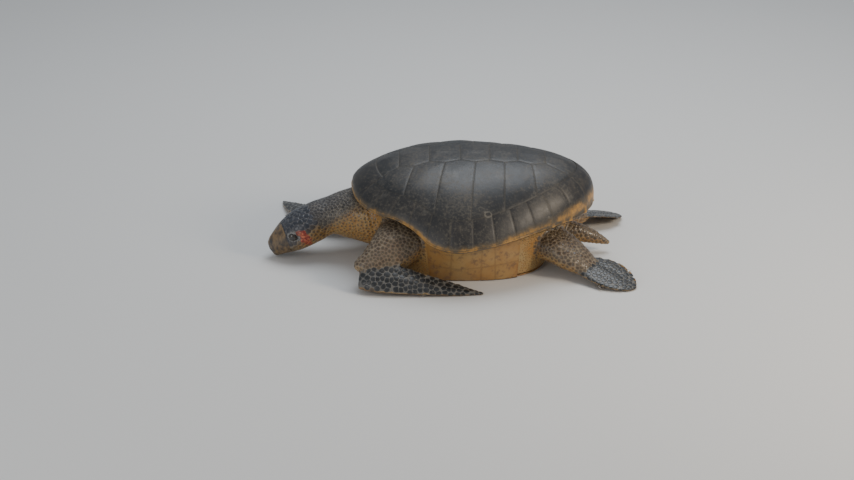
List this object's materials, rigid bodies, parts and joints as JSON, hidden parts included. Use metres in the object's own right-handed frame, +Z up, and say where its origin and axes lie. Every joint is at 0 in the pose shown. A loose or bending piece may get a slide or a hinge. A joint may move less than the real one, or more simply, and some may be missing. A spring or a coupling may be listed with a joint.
{
  "type": "olive ridley sea turtle",
  "caption": "Life-size olive ridley sea turtle in mid crawl, lying on its plastron, with a domed plated shell, bowed beaked head and long fore flippers.",
  "frame": {"origin": "middle of the model's bounding box, at the floor the plastron lies on", "axes": "+X toward the tail (the head points along -X), -Y toward the animal's left side, +Z up"},
  "size_m": [0.9734, 0.6906, 0.288],
  "materials": {
    "skin": "wet scaled hide, slate above and ochre below",
    "scute": "wet horn plates, charcoal brown with pale specks",
    "rim": "wet horn, olive with a thin ochre edge",
    "belly": "smooth horn, ochre yellow",
    "horn": "polished horn, tan with dark streaks",
    "eye": "wet dark eye"
  },
  "bodies": {
    "root": {"beak_lower": "horn", "beak_upper": "horn", "bridge_left": "belly", "bridge_right": "belly", "costal_left_1": "scute", "costal_left_2": "scute", "costal_left_3": "scute", "costal_left_4": "scute", "costal_left_5": "scute", "costal_left_6": "scute", "costal_right_1": "scute", "costal_right_2": "scute", "costal_right_3": "scute", "costal_right_4": "scute", "costal_right_5": "scute", "costal_right_6": "scute", "eye_left": "eye", "eye_right": "eye", "fore_claw_left": "horn", "fore_claw_right": "horn", "fore_flipper_left": "skin", "fore_flipper_right": "skin", "head": "skin", "hind_claw_left": "horn", "hind_claw_right": "horn", "hind_flipper_left": "skin", "hind_flipper_right": "skin", "lower_jaw": "skin", "marginals_left": "rim", "marginals_right": "rim", "neck": "skin", "nuchal": "scute", "plastron": "belly", "supracaudals": "rim", "tail": "skin", "thigh_left": "skin", "thigh_right": "skin", "throat": "skin", "trunk": "skin", "upper_arm_left": "skin", "upper_arm_right": "skin", "vertebral_1": "scute", "vertebral_2": "scute", "vertebral_3": "scute", "vertebral_4": "scute", "vertebral_5": "scute", "vertebral_6": "scute", "vertebral_7": "scute"}
  },
  "joints": []
}
